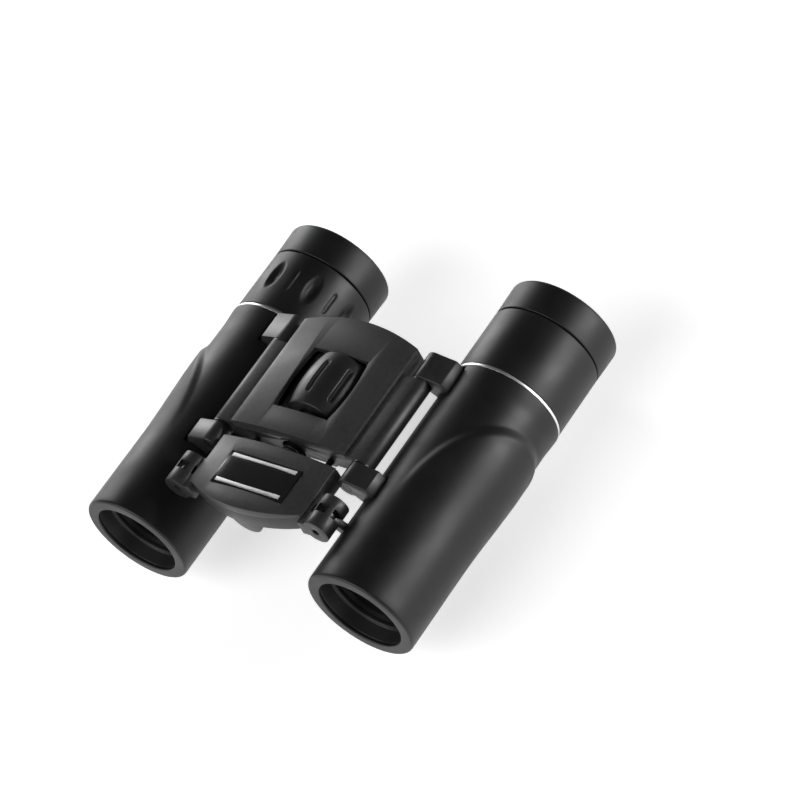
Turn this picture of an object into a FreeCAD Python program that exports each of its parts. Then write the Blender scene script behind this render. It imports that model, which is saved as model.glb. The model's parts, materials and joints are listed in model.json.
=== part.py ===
"""Compact folding roof-prism binoculars, in millimetres.

X runs from left to right as the user holds them, Y runs along the barrels from the objectives (-Y)
to the eyepieces (+Y), and Z is up. The origin is at the middle of the length and width, on the
surface that the open binoculars lie on.

The bridge is the fixed body. Each barrel folds about a hinge beside it, the focus wheel drives the
yoke in front of the bridge, and the yoke pulls both objective cells through an arm on each hinge
line. A barrel is drawn in a frame of its own: Y is its axis, and +Z points at its hinge.
"""
import FreeCAD
import Part
import math
import os
import re
import Sketcher

doc = FreeCAD.newDocument("binoculars")

# Driving dimensions: alias, value.
DIMENSIONS = (
    # Barrels
    ("body_length", 100.0),
    ("barrel_radius", 15.6),
    ("tail_flare", 0.3),
    ("armour_thickness", 1.5),
    ("mouth_wall", 2.0),
    ("tube_wall", 2.4),
    ("rim_round", 1.2),
    ("lip_thickness", 1.0),
    ("neck_step", 0.5),
    ("neck_overhang", 2.5),
    ("grip_height", 1.0),
    ("grip_length", 35.0),
    ("grip_span", 140.0),
    ("grip_turn", 25.0),
    # Eyepiece end
    ("eyecup_length", 9.6),
    ("eyecup_wall", 2.5),
    ("eyecup_depth", 6.8),
    ("seam_gap", 0.4),
    ("sleeve_length", 19.0),
    ("sleeve_rise", 0.1),
    ("trim_width", 0.8),
    ("eyepiece_wall", 2.34),
    ("eye_step", 1.15),
    ("eyepiece_reach", 19.0),
    ("field_seat", 4.5),
    ("eye_seat", 6.0),
    ("cup_floor", 1.6),
    ("cup_round", 1.4),
    ("cup_bevel", 0.6),
    ("cup_shelf", 0.6),
    ("collar_step", 0.4),
    # Objective
    ("ring_depth", 5.0),
    ("ring_width", 1.2),
    ("ring_land", 0.8),
    ("cell_wall", 0.74),
    ("seat_width", 0.7),
    ("seat_depth", 2.6),
    ("crown_thickness", 3.2),
    ("flint_edge", 2.4),
    ("lens_ring_width", 1.15),
    ("cell_length", 8.2),
    ("cell_lead", 5.9),
    ("glass_setback", 1.0),
    ("ring_play", 0.2),
    ("ring_lip", 1.0),
    ("slot_root", 2.0),
    # Prisms
    ("prism_setback", 34.0),
    ("prism_length", 24.0),
    ("holder_skin", 0.41),
    ("prism_angle", 41.0),
    ("prism_split", 0.4),
    ("prism_window", 6.5),
    ("holder_wall", 2.0),
    ("apex_step", 1.0),
    # Hinges
    ("hinge_spacing", 47.8),
    ("hinge_gap", 5.33),
    ("hinge_tilt", 45.0),
    ("knuckle_radius", 3.0),
    ("pin_radius", 1.1),
    ("front_knuckle", 6.5),
    ("rear_knuckle", 8.4),
    ("knuckle_inset", 0.8),
    ("washer_space", 0.6),
    ("washer_thickness", 0.5),
    ("housing_length", 27.8),
    ("lug_reach", 5.9),
    ("lug_rise", 1.7),
    ("lug_web", 1.2),
    # Bridge
    ("cover_width", 38.6),
    ("cover_crown", 5.3),
    ("cover_edge", 3.9),
    ("cover_wall", 1.4),
    ("cover_tail", 11.0),
    ("tail_bow", 3.0),
    ("deck_top", 1.6),
    ("deck_bottom", 2.2),
    ("base_thickness", 1.0),
    ("base_bar", 1.5),
    ("window_width", 18.4),
    ("window_bow", 1.0),
    ("window_margin", 7.4),
    ("window_length", 20.0),
    ("screw_front", 3.4),
    ("screw_rear", 4.6),
    ("pilot_depth", 1.6),
    ("screw_bite", 1.5),
    # Focus drive
    ("focus_drop", 1.8),
    ("wheel_radius", 9.4),
    ("wheel_crown", 1.1),
    ("wheel_length", 17.4),
    ("wheel_gap", 0.5),
    ("grip_rubber", 1.9),
    ("shaft_radius", 2.8),
    ("bush_wall", 0.8),
    ("bush_length", 5.4),
    ("boss_wall", 0.9),
    ("rod_radius", 0.9),
    ("rod_offset", 12.6),
    ("rod_boss", 2.2),
    ("rod_setback", 1.2),
    ("shaft_tail", 1.6),
    ("clip_width", 0.8),
    ("collar_width", 1.0),
    # Yoke
    ("yoke_gap", 4.2),
    ("yoke_length", 20.0),
    ("yoke_width", 39.2),
    ("yoke_bow", 4.6),
    ("yoke_crown", 4.7),
    ("yoke_edge", 2.8),
    ("yoke_top", 2.2),
    ("yoke_bottom", 2.4),
    ("yoke_wall", 2.0),
    ("yoke_boss", 5.2),
    ("nut_wall", 1.0),
    ("nut_setback", 2.4),
    ("ear_radius", 3.8),
    ("ear_length", 9.7),
    ("ear_setback", 12.1),
    ("arm_setback", 16.35),
    ("arm_thickness", 2.2),
    ("arm_width", 2.6),
    ("arm_eye", 2.3),
    ("pivot_radius", 1.0),
    ("label_width", 24.4),
    ("label_length", 10.5),
    ("label_depth", 1.0),
    ("label_setback", 8.5),
    ("label_rear", 4.2),
    ("label_seat", 0.6),
    ("label_dome", 0.1),
    ("bow_wall", 1.5),
    ("cavity_rise", 0.6),
    ("boss_setback", 0.8),
    ("nut_inset", 0.4),
    ("pin_setback", 0.6),
    ("cover_inset", 0.4),
    ("cover_lip", 0.2),
    ("yoke_screw_setback", 5.2),
    ("yoke_pilot", 0.5),
    ("yoke_bite", 0.4),
    # Clearances
    ("running_gap", 0.06),
    ("bond_gap", 0.02),
    ("side_gap", 0.15),
    ("slot_gap", 0.4),
    ("cut_margin", 1.0),
    ("focus_back", 2.0),
    ("focus_front", 1.0),
    # Screws
    ("screw_radius", 0.8),
    ("screw_head", 1.5),
    ("screw_offset", 16.6),
)

sheet = doc.addObject("Spreadsheet::Sheet", "dims")
for row, (alias, value) in enumerate(DIMENSIONS, start=1):
    sheet.set("A%d" % row, alias)
    sheet.set("B%d" % row, "%g" % value)
    sheet.setAlias("B%d" % row, alias)
doc.recompute()

# Places along Y, from the eyecup rims forwards.
FRONT = "(-body_length / 2)"
REAR = "(body_length / 2)"
CUP_FRONT = "(%s - eyecup_length)" % REAR
SLEEVE_REAR = "(%s - seam_gap)" % CUP_FRONT
SLEEVE_FRONT = "(%s - sleeve_length)" % SLEEVE_REAR
ARMOUR_REAR = "(%s - trim_width)" % SLEEVE_FRONT
NECK_REAR = "(%s - neck_overhang)" % SLEEVE_REAR
REAR_KNUCKLE = "(%s - knuckle_inset)" % ARMOUR_REAR
HOUSING_REAR = "(%s - rear_knuckle - washer_space)" % REAR_KNUCKLE
HOUSING_FRONT = "(%s - housing_length)" % HOUSING_REAR
FRONT_KNUCKLE = "(%s - washer_space)" % HOUSING_FRONT
HINGE_FRONT = "(%s - front_knuckle)" % FRONT_KNUCKLE
YOKE_REAR = "(%s - yoke_gap)" % HOUSING_FRONT
YOKE_FRONT = "(%s - yoke_length)" % YOKE_REAR
EAR_REAR = "(%s - ear_setback)" % HOUSING_FRONT
ARM_Y = "(%s - arm_setback)" % HOUSING_FRONT
WINDOW_FRONT = "(%s + window_margin)" % HOUSING_FRONT
WINDOW_REAR = "(%s + window_length)" % WINDOW_FRONT
WHEEL_REAR = "(%s - wheel_gap)" % WINDOW_REAR
WHEEL_FRONT = "(%s - wheel_length)" % WHEEL_REAR
PRISM_REAR = "(%s - prism_setback - holder_wall)" % REAR
PRISM_FRONT = "(%s - prism_length)" % PRISM_REAR
CELL_FRONT = "(%s - cell_lead)" % ARM_Y
CELL_REAR = "(%s + cell_length)" % CELL_FRONT

# Heights and places across.
SWING = "(barrel_radius + hinge_gap)"
AXIS_Z = "(barrel_radius + tail_flare)"
HINGE_X = "(hinge_spacing / 2)"
HINGE_Z = "(%s + %s * sin(hinge_tilt))" % (AXIS_Z, SWING)
BARREL_X = "(%s + %s * cos(hinge_tilt))" % (HINGE_X, SWING)
FOCUS_Z = "(%s - focus_drop)" % HINGE_Z

# Radii that fit together.
TUBE_RADIUS = "(barrel_radius - armour_thickness)"
TAIL_RADIUS = "(barrel_radius + tail_flare)"
MOUTH_RADIUS = "(%s - mouth_wall)" % TUBE_RADIUS
BORE_RADIUS = "(%s - tube_wall)" % TUBE_RADIUS
NECK_RADIUS = "(%s - neck_step)" % TUBE_RADIUS
CUP_MOUTH = "(%s - eyecup_wall)" % TAIL_RADIUS
SLEEVE_RADIUS = "(barrel_radius + sleeve_rise)"
CELL_RADIUS = "(%s - running_gap)" % BORE_RADIUS
PACK_RADIUS = "(%s - bond_gap)" % BORE_RADIUS
GLASS_RADIUS = "(%s - cell_wall)" % CELL_RADIUS
FIELD_RADIUS = "(%s - eyepiece_wall)" % CELL_RADIUS
EYE_RADIUS = "(%s - eye_step)" % FIELD_RADIUS
PRISM_WIDTH = "(2 * (%s - holder_skin) * sin(prism_angle))" % PACK_RADIUS
PRISM_HEIGHT = "(2 * (%s - holder_skin) * cos(prism_angle))" % PACK_RADIUS
PIN_BORE = "(pin_radius + running_gap)"
BUSH_RADIUS = "(shaft_radius + running_gap + bush_wall)"
BOSS_RADIUS = "(%s + bond_gap + boss_wall)" % BUSH_RADIUS
CORE_RADIUS = "(wheel_radius - grip_rubber)"
NUT_RADIUS = "(shaft_radius + running_gap + nut_wall)"

TURN = {
    "z": FreeCAD.Rotation(),
    "y": FreeCAD.Rotation(FreeCAD.Vector(1, 0, 0), -90),
}
made = []


def formula(text):
    """Point each alias at the sheet: every alias has an underscore, and nothing else does."""
    return re.sub(r"[a-z]+(?:_[a-z]+)+", lambda match: "dims." + match.group(0), str(text))


def number(text):
    """The present value of a formula."""
    value = sheet.evalExpression(formula(text))
    return float(getattr(value, "Value", value))


def new_body(label):
    body = doc.addObject("PartDesign::Body", label)
    body.Label = label
    made.append(body)
    return body


def arc_between(start, end, centre_axis, centre):
    """The short arc between two points, about a centre with one known coordinate."""
    known = number(centre)
    a, b = (0, 1) if centre_axis == "x" else (1, 0)
    near = (start[a] - known) ** 2 - (end[a] - known) ** 2 + start[b] ** 2 - end[b] ** 2
    middle = FreeCAD.Vector()
    middle[a] = known
    middle[b] = near / (2 * (start[b] - end[b]))
    first, last = start - middle, end - middle
    angles = [math.atan2(first.y, first.x), math.atan2(last.y, last.x)]
    forwards = first.x * last.y - first.y * last.x > 0
    if not forwards:
        angles.reverse()
    circle = Part.Circle(middle, FreeCAD.Vector(0, 0, 1), first.Length)
    return Part.ArcOfCircle(circle, *angles), forwards


def bind(sketch, kind, elements, text):
    """Add one dimension to a sketch and bind it to a formula."""
    index = sketch.addConstraint(Sketcher.Constraint(kind, *elements, number(text)))
    sketch.setExpression("Constraints[%d]" % index, formula(text))


def outline(body, name, plane, corners):
    """A closed sketch. A corner is (u, v), or (u, v, "x" or "y", centre) where an arc follows it."""
    sketch = body.newObject("Sketcher::SketchObject", name)
    face = [item for item in body.Origin.OriginFeatures if item.Role == plane][0]
    sketch.AttachmentSupport = [(face, "")]
    sketch.MapMode = "FlatFace"
    points = [FreeCAD.Vector(number(corner[0]), number(corner[1]), 0) for corner in corners]
    edges = []
    for index, corner in enumerate(corners):
        start, end = points[index], points[(index + 1) % len(points)]
        if len(corner) == 2:
            edges.append((sketch.addGeometry(Part.LineSegment(start, end)), 1, 2))
            continue
        arc, forwards = arc_between(start, end, corner[2], corner[3])
        edge = sketch.addGeometry(arc)
        edges.append((edge, 1, 2) if forwards else (edge, 2, 1))
        bind(sketch, "DistanceX" if corner[2] == "x" else "DistanceY", (-1, 1, edge, 3), corner[3])
    for index, (edge, first, last) in enumerate(edges):
        after = edges[(index + 1) % len(edges)]
        sketch.addConstraint(Sketcher.Constraint("Coincident", edge, last, after[0], after[1]))
        bind(sketch, "DistanceX", (-1, 1, edge, first), corners[index][0])
        bind(sketch, "DistanceY", (-1, 1, edge, first), corners[index][1])
    return sketch


def turned(body, name, corners):
    """A turned piece: corners are (radius, y)."""
    sketch = outline(body, name + "_section", "XY_Plane", corners)
    feature = body.newObject("PartDesign::Revolution", name)
    feature.Profile = sketch
    feature.ReferenceAxis = (sketch, ["V_Axis"])
    feature.Angle = 360
    return feature


def slab(body, name, corners, rear, length, cut=False):
    """Corners in X and Z, carried forwards along Y from the plane y = rear."""
    sketch = outline(body, name + "_section", "XZ_Plane", corners)
    sketch.setExpression("AttachmentOffset.Base.z", formula("-(%s)" % rear))
    feature = body.newObject("PartDesign::" + ("Pocket" if cut else "Pad"), name)
    feature.Profile = sketch
    feature.setExpression("Length", formula(length))
    feature.Reversed = cut
    return feature


def plate(body, name, corners, bottom, height, cut=False):
    """Corners in X and Y, carried up from the plane z = bottom."""
    sketch = outline(body, name + "_plan", "XY_Plane", corners)
    sketch.setExpression("AttachmentOffset.Base.z", formula(bottom))
    feature = body.newObject("PartDesign::" + ("Pocket" if cut else "Pad"), name)
    feature.Profile = sketch
    feature.setExpression("Length", formula(height))
    feature.Reversed = cut
    return feature


def place(thing, x, y, z, axis="z"):
    thing.Placement = FreeCAD.Placement(FreeCAD.Vector(), TURN[axis])
    for letter, text in zip("xyz", (x, y, z)):
        thing.setExpression("Placement.Base." + letter, formula(text))


def rod(body, name, radius, x, z, front, rear, cut=False):
    """A cylinder along Y between two planes, added or cut."""
    kind = "SubtractiveCylinder" if cut else "AdditiveCylinder"
    feature = body.newObject("PartDesign::" + kind, name)
    feature.setExpression("Radius", formula(radius))
    feature.setExpression("Height", formula("(%s) - (%s)" % (rear, front)))
    place(feature, x, front, z, "y")
    return feature


def post(body, name, radius, x, y, bottom, top, cut=False):
    """A cylinder along Z between two heights, added or cut."""
    kind = "SubtractiveCylinder" if cut else "AdditiveCylinder"
    feature = body.newObject("PartDesign::" + kind, name)
    feature.setExpression("Radius", formula(radius))
    feature.setExpression("Height", formula("(%s) - (%s)" % (top, bottom)))
    place(feature, x, y, bottom)
    return feature


def block(body, name, x, y, z, cut=False):
    """A box between pairs of planes, added or cut."""
    kind = "SubtractiveBox" if cut else "AdditiveBox"
    feature = body.newObject("PartDesign::" + kind, name)
    for size, (low, high) in zip(("Length", "Width", "Height"), (x, y, z)):
        feature.setExpression(size, formula("(%s) - (%s)" % (high, low)))
    place(feature, x[0], y[0], z[0])
    return feature


def on_barrel(body, side):
    """Stand a piece that was drawn about the Y axis on its barrel, with +Z towards the hinge."""
    sign = 1 if side == "right" else -1
    body.Placement = FreeCAD.Placement(
        FreeCAD.Vector(), FreeCAD.Rotation(FreeCAD.Vector(0, 1, 0), -sign * number("hinge_tilt"))
    )
    body.setExpression("Placement.Base.x", formula("%d * %s" % (sign, BARREL_X)))
    body.setExpression("Placement.Base.z", formula(AXIS_Z))


def barrel_piece(side, name, corners):
    body = new_body("%s_%s" % (side, name))
    turned(body, "%s_%s_turned" % (side, name), corners)
    on_barrel(body, side)
    return body


# ---------------------------------------------------------------- barrels

def barrel_tube(side):
    """The hard tube: a wide mouth, a narrower bore behind it, a neck, and the focus arm's slot."""
    body = barrel_piece(side, "barrel_tube", (
        (MOUTH_RADIUS, FRONT + " + lip_thickness"),
        (TUBE_RADIUS, FRONT + " + lip_thickness"),
        (TUBE_RADIUS, ARMOUR_REAR),
        (NECK_RADIUS, ARMOUR_REAR),
        (NECK_RADIUS, NECK_REAR),
        (BORE_RADIUS, NECK_REAR),
        (BORE_RADIUS, FRONT + " + ring_depth"),
        (MOUTH_RADIUS, FRONT + " + ring_depth"),
    ))
    arm_slot(body, side + "_barrel_tube")


def knuckles(side):
    """The two hinge knuckles, each on a lug whose foot is seated on the tube."""
    out = 1 if side == "right" else -1
    lug = (
        ("%d * lug_web" % -out, TUBE_RADIUS + " - lip_thickness"),
        ("%d * lug_web" % -out, SWING),
        ("%d * knuckle_radius * sin(hinge_tilt)" % out, SWING + " + knuckle_radius * cos(hinge_tilt)"),
        ("%d * lug_reach" % out, "barrel_radius + lug_rise"),
        ("%d * lug_reach * 0.8" % out, TUBE_RADIUS + " - lip_thickness"),
    )
    spans = {
        "front": (HINGE_FRONT, FRONT_KNUCKLE, "front_knuckle"),
        "rear": (REAR_KNUCKLE + " - rear_knuckle", REAR_KNUCKLE, "rear_knuckle"),
    }
    for end, (front, rear, length) in spans.items():
        name = "%s_%s_knuckle" % (side, end)
        body = new_body(name)
        slab(body, name + "_lug", lug, rear, length)
        rod(body, name + "_barrel", "knuckle_radius", "0", SWING, front, rear)
        rod(body, name + "_seat", TUBE_RADIUS + " + bond_gap", "0", "0", front, rear, cut=True)
        rod(body, name + "_bore", PIN_BORE, "0", SWING, front, rear, cut=True)
        on_barrel(body, side)


def arm_slot(body, name):
    """The slot that the focus arm slides in, as long as the arm and its travel."""
    half = "arm_width / 2 + slot_gap"
    low = ARM_Y + " - arm_thickness / 2 - focus_front - slot_gap"
    high = ARM_Y + " + arm_thickness / 2 + focus_back + slot_gap"
    heights = (BORE_RADIUS + " - slot_root", SWING)
    block(body, name + "_slot", ("-(%s)" % half, half), (low, high), heights, cut=True)


def armour(side):
    """The rubber armour: a rolled front rim, a low grip on the outer side, and room for the lugs."""
    name = side + "_armour"
    out = 1 if side == "right" else -1
    inner = TUBE_RADIUS + " + bond_gap"
    body = barrel_piece(side, "armour", (
        (MOUTH_RADIUS, FRONT + " + rim_round / 4"),
        (MOUTH_RADIUS + " + rim_round / 4", FRONT),
        ("barrel_radius - rim_round", FRONT, "x", "barrel_radius - rim_round"),
        ("barrel_radius", FRONT + " + rim_round"),
        ("barrel_radius", REAR_KNUCKLE + " - rear_knuckle / 2"),
        (TAIL_RADIUS, ARMOUR_REAR + " - tail_flare"),
        (TAIL_RADIUS + " - tail_flare", ARMOUR_REAR),
        (inner, ARMOUR_REAR),
        (inner, FRONT + " + lip_thickness - bond_gap"),
        (MOUTH_RADIUS, FRONT + " + lip_thickness - bond_gap"),
    ))
    grip_rear = REAR_KNUCKLE + " - rear_knuckle / 2"
    grip_front = grip_rear + " - grip_length"
    sketch = outline(body, name + "_grip_section", "XY_Plane", (
        (TUBE_RADIUS + " + armour_thickness / 2", grip_front),
        ("barrel_radius", grip_front),
        ("barrel_radius + grip_height", grip_rear + " - rear_knuckle / 2"),
        ("barrel_radius", grip_rear),
        (TUBE_RADIUS + " + armour_thickness / 2", grip_rear),
    ))
    middle = number("grip_turn") if out > 0 else 180 - number("grip_turn")
    sketch.AttachmentOffset = FreeCAD.Placement(
        FreeCAD.Vector(), FreeCAD.Rotation(FreeCAD.Vector(0, 1, 0), middle)
    )
    grip = body.newObject("PartDesign::Revolution", name + "_grip")
    grip.Profile = sketch
    grip.ReferenceAxis = (sketch, ["V_Axis"])
    grip.setExpression("Angle", formula("grip_span"))
    grip.Midplane = True
    low, high = ("-(lug_web + slot_gap)", "lug_reach + slot_gap")
    if out < 0:
        low, high = ("-(lug_reach + slot_gap)", "lug_web + slot_gap")
    roots = (TUBE_RADIUS + " - lip_thickness", SWING)
    block(body, name + "_front_notch", (low, high),
          (HINGE_FRONT + " - slot_gap", FRONT_KNUCKLE + " + slot_gap"), roots, cut=True)
    block(body, name + "_rear_notch", (low, high),
          (REAR_KNUCKLE + " - rear_knuckle - slot_gap", REAR_KNUCKLE + " + slot_gap"), roots, cut=True)
    arm_slot(body, name)
    return body


def objective_cell(side):
    """The cell that slides in the tube, with the arm that reaches the hinge line."""
    name = side + "_objective_cell"
    seat = GLASS_RADIUS + " + bond_gap"
    stop = GLASS_RADIUS + " - seat_width"
    body = barrel_piece(side, "objective_cell", (
        (seat, CELL_FRONT),
        (CELL_RADIUS, CELL_FRONT),
        (CELL_RADIUS, CELL_REAR),
        (stop, CELL_REAR),
        (stop, CELL_REAR + " - seat_depth"),
        (seat, CELL_REAR + " - seat_depth"),
    ))
    half, thick = "arm_width / 2", "arm_thickness / 2"
    sides = ("%s - %s" % (ARM_Y, thick), "%s + %s" % (ARM_Y, thick))
    root = CELL_RADIUS + " - cell_wall * 0.8"
    block(body, name + "_arm", ("-" + half, half), sides, (root, SWING))
    rod(body, name + "_eye", "arm_eye", "0", SWING, *sides)
    rod(body, name + "_eye_bore", "pivot_radius + running_gap", "0", SWING, *sides, cut=True)
    return body


def objective_glass(side):
    """A cemented doublet: a convex crown in front, a flint behind it, and a thin retaining ring."""
    face = CELL_REAR + " - seat_depth"
    rim = face + " - flint_edge"
    barrel_piece(side, "objective_crown", (
        ("0", face + " - crown_thickness - flint_edge / 2", "x", "0"),
        (GLASS_RADIUS, rim + " - glass_setback"),
        (GLASS_RADIUS, rim, "x", "0"),
        ("0", face + " - flint_edge / 2"),
    ))
    barrel_piece(side, "objective_flint", (
        ("0", face + " - flint_edge / 2 + bond_gap", "x", "0"),
        (GLASS_RADIUS, rim + " + bond_gap"),
        (GLASS_RADIUS, face),
        ("0", face),
    ))
    ring_rear = rim + " - glass_setback - bond_gap - ring_play"
    barrel_piece(side, "lens_ring", (
        (GLASS_RADIUS + " - ring_lip", ring_rear + " - lens_ring_width"),
        (GLASS_RADIUS, ring_rear + " - lens_ring_width"),
        (GLASS_RADIUS, ring_rear),
        (GLASS_RADIUS + " - ring_lip", ring_rear),
    ))


def front_ring(side):
    """The threaded ring at the foot of the mouth, which holds the dust stop."""
    front, rear = FRONT + " + ring_depth", FRONT + " + ring_depth + ring_width"
    opening = BORE_RADIUS + " - ring_land"
    barrel_piece(side, "front_ring", (
        (opening, front),
        (PACK_RADIUS, front),
        (PACK_RADIUS, rear),
        (opening, rear),
    ))


def prisms(side):
    """A roof prism and its helper prism in a holder. Both are drawn in Y and Z, and pad in X."""
    front = PRISM_FRONT + " - holder_wall"
    rear = PRISM_REAR + " + holder_wall"
    name = side + "_prism_holder"
    holder = barrel_piece(side, "prism_holder", (
        ("prism_window", front),
        (PACK_RADIUS, front),
        (PACK_RADIUS, rear),
        ("prism_window", rear),
    ))
    half = "(%s / 2 + bond_gap)" % PRISM_WIDTH
    tall = "(%s / 2 + bond_gap)" % PRISM_HEIGHT
    along = (PRISM_FRONT, PRISM_REAR)
    block(holder, name + "_pocket", ("-" + half, half), along, ("-" + tall, tall), cut=True)
    apex = PRISM_REAR + " - apex_step"
    split = apex + " - prism_split"

    def corner(start, along_share, up_share):
        """A corner, as shares of the prism's height forwards of a plane and up from its foot."""
        return ("%s - %s * %s" % (start, PRISM_HEIGHT, along_share),
                "-%s / 2 + %s * %s" % (PRISM_HEIGHT, PRISM_HEIGHT, up_share))

    roof = (corner(apex, "0", "0"), corner(apex, "0", "1"), corner(apex, "sin(45)", "sin(45)"))
    helper = (
        corner(split, "0.08", "0.08"),
        corner(split, "0.88", "0.88"),
        corner(split, "0.88", "0.2"),
        corner(split, "0.5", "0.08"),
    )
    for piece, corners in (("roof_prism", roof), ("helper_prism", helper)):
        body = new_body("%s_%s" % (side, piece))
        sketch = outline(body, "%s_%s_section" % (side, piece), "YZ_Plane", corners)
        sketch.setExpression("AttachmentOffset.Base.z", formula("-%s / 2" % PRISM_WIDTH))
        pad = body.newObject("PartDesign::Pad", "%s_%s_pad" % (side, piece))
        pad.Profile = sketch
        pad.setExpression("Length", formula(PRISM_WIDTH))
        on_barrel(body, side)


def eyepiece(side):
    """The eyepiece cell with its field lens and eye lens, and the rubber eyecup on its collar."""
    collar = "(%s - collar_step)" % NECK_RADIUS
    floor = "(%s + cup_floor)" % CUP_FRONT
    front = "(%s - eyepiece_reach)" % NECK_REAR
    field_face = front + " + field_seat"
    eye_face = floor + " - eye_seat"
    waist = EYE_RADIUS + " - seat_width"
    barrel_piece(side, "eyepiece_cell", (
        (FIELD_RADIUS + " + bond_gap", front),
        (CELL_RADIUS, front),
        (CELL_RADIUS, NECK_REAR + " + seam_gap"),
        (collar, NECK_REAR + " + seam_gap"),
        (collar, floor),
        (EYE_RADIUS + " + bond_gap", floor),
        (EYE_RADIUS + " + bond_gap", eye_face),
        (waist, eye_face),
        (waist, field_face),
        (FIELD_RADIUS + " + bond_gap", field_face),
    ))
    barrel_piece(side, "field_lens", (
        ("0", front + " + field_seat * 0.2", "x", "0"),
        (FIELD_RADIUS, front + " + field_seat / 2"),
        (FIELD_RADIUS, field_face),
        ("0", field_face),
    ))
    barrel_piece(side, "eye_lens", (
        ("0", eye_face),
        (EYE_RADIUS, eye_face),
        (EYE_RADIUS, floor + " - eye_seat * 0.3", "x", "0"),
        ("0", floor + " - eye_seat * 0.13"),
    ))
    inside = REAR + " - eyecup_depth"
    shelf = EYE_RADIUS + " + cup_shelf"
    barrel_piece(side, "eyecup", (
        (collar + " + bond_gap", CUP_FRONT),
        (SLEEVE_RADIUS, CUP_FRONT),
        (TAIL_RADIUS, REAR + " - cup_round"),
        (TAIL_RADIUS + " - cup_round * 0.4", REAR + " - cup_round * 0.15"),
        (TAIL_RADIUS + " - cup_round * 0.85", REAR),
        (CUP_MOUTH + " + cup_bevel", REAR),
        (CUP_MOUTH, REAR + " - cup_bevel"),
        (CUP_MOUTH, inside),
        (shelf, inside),
        (shelf, floor + " + bond_gap"),
        (collar + " + bond_gap", floor + " + bond_gap"),
    ))


def sleeves(side):
    """The bright trim ring, and behind it the fixed sleeve or, on the left, the dioptre ring."""
    bore = NECK_RADIUS + " + bond_gap"
    barrel_piece(side, "trim_ring", (
        (bore, ARMOUR_REAR),
        (SLEEVE_RADIUS, ARMOUR_REAR),
        (SLEEVE_RADIUS, SLEEVE_FRONT),
        (bore, SLEEVE_FRONT),
    ))
    name, fit, start = "rear_sleeve", "bond_gap", SLEEVE_FRONT
    if side == "left":
        name, fit, start = "dioptre_ring", "running_gap", SLEEVE_FRONT + " + side_gap"
    barrel_piece(side, name, (
        (NECK_RADIUS + " + " + fit, start),
        (SLEEVE_RADIUS, start),
        (SLEEVE_RADIUS, SLEEVE_REAR),
        (NECK_RADIUS + " + " + fit, SLEEVE_REAR),
    ))


# ---------------------------------------------------------------- bridge

def bridge_frame():
    """The moulded frame: a deck with the wheel's well, the hinge housings and the bearing bosses."""
    body = new_body("bridge_frame")
    deck = (HINGE_Z + " - deck_bottom", HINGE_Z + " + deck_top")
    half = "(cover_width / 2 - cover_wall)"
    tail = REAR_KNUCKLE
    block(body, "deck", ("-" + half, half), (HOUSING_FRONT, tail), deck)
    block(body, "shoulders", ("-" + HINGE_X, HINGE_X), (HOUSING_FRONT, HOUSING_REAR), deck)
    for sign, side in ((-1, "left"), (1, "right")):
        inner, outer = "(cover_width / 2 + side_gap)", HINGE_X
        pair = (inner, outer) if sign > 0 else ("-" + outer, "-" + inner)
        block(body, side + "_shoulder", pair, (HOUSING_FRONT, HOUSING_REAR),
              (HINGE_Z, HINGE_Z + " + knuckle_radius"))
        rod(body, side + "_housing", "knuckle_radius", "%d * %s" % (sign, HINGE_X), HINGE_Z,
            HOUSING_FRONT, HOUSING_REAR)
        rod(body, side + "_rod_boss", "rod_boss", "%d * rod_offset" % sign, FOCUS_Z,
            HOUSING_FRONT, WINDOW_FRONT)
    rear_boss = WINDOW_REAR + " + wheel_gap"
    rod(body, "front_boss", BOSS_RADIUS, "0", FOCUS_Z, HOUSING_FRONT, WINDOW_FRONT)
    rod(body, "rear_boss", BOSS_RADIUS, "0", FOCUS_Z, rear_boss, rear_boss + " + bush_length")
    well = "(wheel_radius + wheel_gap)"
    block(body, "wheel_well", ("-" + well, well), (WINDOW_FRONT, WINDOW_REAR + " + wheel_gap"),
          (FOCUS_Z + " - wheel_radius", HINGE_Z + " + cover_crown"), cut=True)
    block(body, "clip_recess", ("-" + well, well), (rear_boss + " + bush_length", tail),
          (FOCUS_Z + " - wheel_radius", HINGE_Z + " + cover_crown"), cut=True)
    bore = BUSH_RADIUS + " + bond_gap"
    rod(body, "shaft_bore", bore, "0", FOCUS_Z, HOUSING_FRONT, rear_boss + " + bush_length", cut=True)
    for sign, side in ((-1, "left"), (1, "right")):
        rod(body, side + "_pin_bore", "pin_radius + bond_gap", "%d * %s" % (sign, HINGE_X), HINGE_Z,
            HOUSING_FRONT, HOUSING_REAR, cut=True)
        rod(body, side + "_rod_bore", "rod_radius + running_gap", "%d * rod_offset" % sign, FOCUS_Z,
            HOUSING_FRONT, WINDOW_FRONT + " + focus_back + cut_margin", cut=True)
    for name, x, y in screw_places():
        post(body, name + "_hole", "screw_radius + bond_gap", x, y, deck[0], deck[1], cut=True)


def screw_places():
    """The four screws under the bridge: name, x and y."""
    rows = (("front", HOUSING_FRONT + " + screw_front"), ("rear", HOUSING_REAR + " + screw_rear"))
    places = []
    for row, y in rows:
        for sign, side in ((-1, "left"), (1, "right")):
            places.append(("%s_%s_screw" % (row, side), "%d * screw_offset" % sign, y))
    return places


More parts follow.
